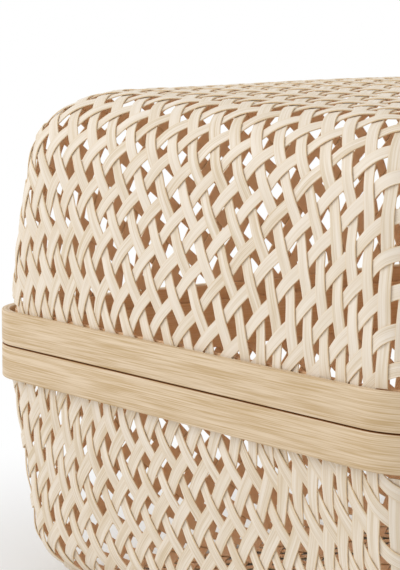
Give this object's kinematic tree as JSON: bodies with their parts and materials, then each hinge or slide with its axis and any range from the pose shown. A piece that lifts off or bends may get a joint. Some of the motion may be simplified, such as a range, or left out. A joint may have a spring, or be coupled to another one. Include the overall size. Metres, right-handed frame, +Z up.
{
  "type": "woven lidded box",
  "caption": "Square woven bamboo storage box with a lift-off lid: plaited base and lid shells, each bound at its mouth by plain bent bamboo bands.",
  "frame": {"origin": "under the middle of the box, on the surface that it stands on", "axes": "+Z up through the middle of the lid, -Y towards the front face, +X to the right seen from the front"},
  "size_m": [0.3, 0.3, 0.23],
  "materials": {
    "bamboo_strip": "thin pale straw strips, matt clear lacquer",
    "bamboo_band": "bent bamboo band, satin clear lacquer, fine lengthwise grain",
    "bamboo_inner_band": "bent bamboo band, matt, fine lengthwise grain"
  },
  "bodies": {
    "base": {"base_weave": "bamboo_strip", "base_outer_band": "bamboo_band", "base_inner_band": "bamboo_inner_band", "base_locating_lip": "bamboo_inner_band"},
    "lid": {"lid_weave": "bamboo_strip", "lid_outer_band": "bamboo_band", "lid_inner_band": "bamboo_inner_band"}
  },
  "joints": [
    {"name": "lid_lift", "type": "slide", "parent": "base", "child": "lid", "axis": [0, 0, 1], "range_m": [0, 0.15]}
  ]
}
